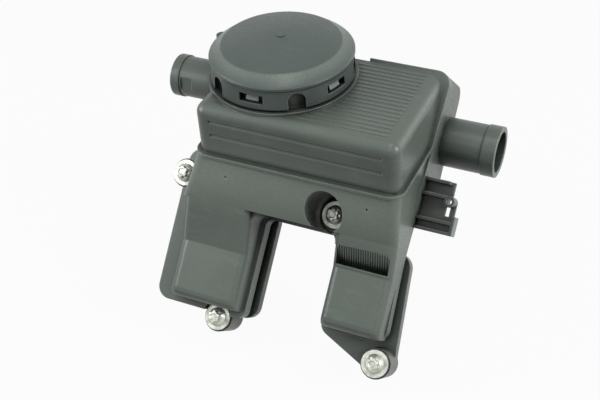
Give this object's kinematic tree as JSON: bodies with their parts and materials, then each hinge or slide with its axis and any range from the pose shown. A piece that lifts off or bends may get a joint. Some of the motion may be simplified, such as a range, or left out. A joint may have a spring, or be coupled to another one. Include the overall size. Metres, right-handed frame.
{
  "type": "oil separator",
  "caption": "Welded black plastic crankcase oil separator with a round clipped valve cap, hose stubs at both sides, flanged legs and captive mounting bolts.",
  "frame": {"origin": "where the centre bolt's axis crosses the mounting plane", "axes": "+Z along the valve cap's axis, +X towards the clip bracket and right hose stub, +Y towards the engine; the mounting plane leans back 42 degrees"},
  "size_m": [0.2086, 0.1656, 0.1924],
  "materials": {
    "housing_plastic": "grained moulded plastic",
    "cap_plastic": "grained moulded plastic",
    "inner_plastic": "plain moulded plastic",
    "rubber": "matt rubber",
    "spring_steel": "drawn wire",
    "sleeve_steel": "rolled sleeve",
    "zinc_steel": "zinc plated"
  },
  "bodies": {
    "housing": {"front_shell": "housing_plastic", "rear_shell": "housing_plastic", "valve_cap": "cap_plastic", "valve_diaphragm": "rubber", "valve_spring": "spring_steel", "baffle_plate": "inner_plastic", "gasket_left": "rubber", "gasket_right": "rubber", "washer_upper_left": "zinc_steel", "washer_centre": "zinc_steel", "washer_lower_left": "zinc_steel", "washer_lower_right": "zinc_steel", "sleeve_upper_left": "sleeve_steel", "sleeve_centre": "sleeve_steel", "sleeve_lower_left": "sleeve_steel", "sleeve_lower_right": "sleeve_steel"},
    "valve_plate": {"valve_plate": "inner_plastic"},
    "bolt_upper_left": {"bolt_upper_left": "zinc_steel"},
    "bolt_centre": {"bolt_centre": "zinc_steel"},
    "bolt_lower_left": {"bolt_lower_left": "zinc_steel"},
    "bolt_lower_right": {"bolt_lower_right": "zinc_steel"}
  },
  "joints": [
    {"name": "valve_lift", "type": "slide", "parent": "housing", "child": "valve_plate", "axis": [0, 0, 1], "range_m": [-0.004, 0], "stiffness_N_per_m": 300, "springref_m": 0.002, "deforming": ["valve_diaphragm", "valve_spring"]},
    {"name": "bolt_upper_left_spin", "type": "hinge", "parent": "housing", "child": "bolt_upper_left", "pos_m": [-0.11, 0.00254, 0.00282], "axis": [0, -0.7431, 0.6691], "continuous": true},
    {"name": "bolt_centre_spin", "type": "hinge", "parent": "housing", "child": "bolt_centre", "pos_m": [0, 0, 0], "axis": [0, -0.7431, 0.6691], "continuous": true},
    {"name": "bolt_lower_left_spin", "type": "hinge", "parent": "housing", "child": "bolt_lower_left", "pos_m": [-0.0625, -0.05554, -0.06168], "axis": [0, -0.7431, 0.6691], "continuous": true},
    {"name": "bolt_lower_right_spin", "type": "hinge", "parent": "housing", "child": "bolt_lower_right", "pos_m": [0.0478, -0.05594, -0.06213], "axis": [0, -0.7431, 0.6691], "continuous": true}
  ]
}
